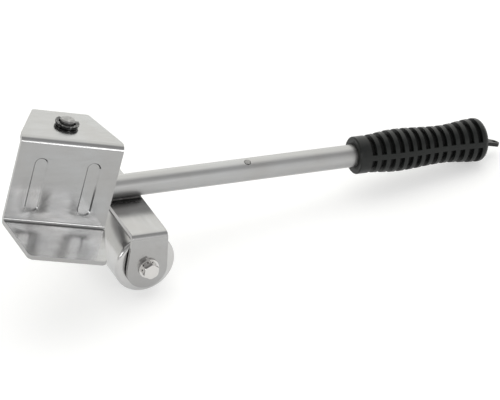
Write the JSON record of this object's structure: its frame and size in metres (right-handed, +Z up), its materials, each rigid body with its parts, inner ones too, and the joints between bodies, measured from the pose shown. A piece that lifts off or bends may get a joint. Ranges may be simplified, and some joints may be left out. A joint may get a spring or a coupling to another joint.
{
  "type": "furniture lifting lever",
  "caption": "Hand lever with a swivelling folded steel lifting shoe, a fulcrum roller in a bracket under the rod, and a grooved rubber grip with a hanging tab.",
  "frame": {"origin": "on the ground under the middle of the part's box, with the lever resting on its roller and the end of its grip", "axes": "+X from the lifting shoe to the grip, +Y to the far end of the roller's axle, +Z up from the ground"},
  "size_m": [0.3823, 0.1379, 0.1246],
  "materials": {
    "rod_steel": "satin zinc-plated tube, fine lengthwise draw lines",
    "zinc_sheet": "bright zinc-plated pressed sheet, near mirror with fine rolling grain",
    "zinc_hardware": "bright zinc-plated fasteners and washers",
    "plain_steel": "bare turned steel",
    "weld_metal": "rippled weld metal under zinc",
    "black_spring_steel": "blackened spring steel and washer",
    "roller_steel": "zinc-plated steel roller, satin, faint rings from turning",
    "bush_plastic": "black acetal bush",
    "grip_rubber": "black grooved rubber, semi-matt",
    "plug_plastic": "black moulded plastic"
  },
  "bodies": {
    "lever": {"rod": "rod_steel", "stiffener_bar": "plain_steel", "cross_pin": "plain_steel", "pivot_post": "plain_steel", "post_weld": "weld_metal", "thrust_washer": "zinc_hardware", "clip_washer": "black_spring_steel", "e_clip": "black_spring_steel", "roller_bracket": "zinc_sheet", "bracket_welds": "weld_metal", "axle_sleeve": "plain_steel", "side_washers": "zinc_hardware", "axle_bolt": "zinc_hardware", "head_washer": "zinc_hardware", "lock_washer": "zinc_hardware", "nut_washer": "zinc_hardware", "lock_nut": "zinc_hardware", "grip": "grip_rubber", "hang_plug": "plug_plastic"},
    "shoe": {"lifting_shoe": "zinc_sheet"},
    "roller_assembly": {"roller": "roller_steel", "roller_bushes": "bush_plastic"}
  },
  "joints": [
    {"name": "shoe_swivel", "type": "hinge", "parent": "lever", "child": "shoe", "pos_m": [-0.13604, 0.00281, 0.11357], "axis": [0.2949, 0, 0.9555], "range_deg": [-181, 19]},
    {"name": "roller_spin", "type": "hinge", "parent": "lever", "child": "roller_assembly", "pos_m": [-0.10357, 0.00281, 0.0215], "axis": [0, 1, 0], "continuous": true}
  ]
}
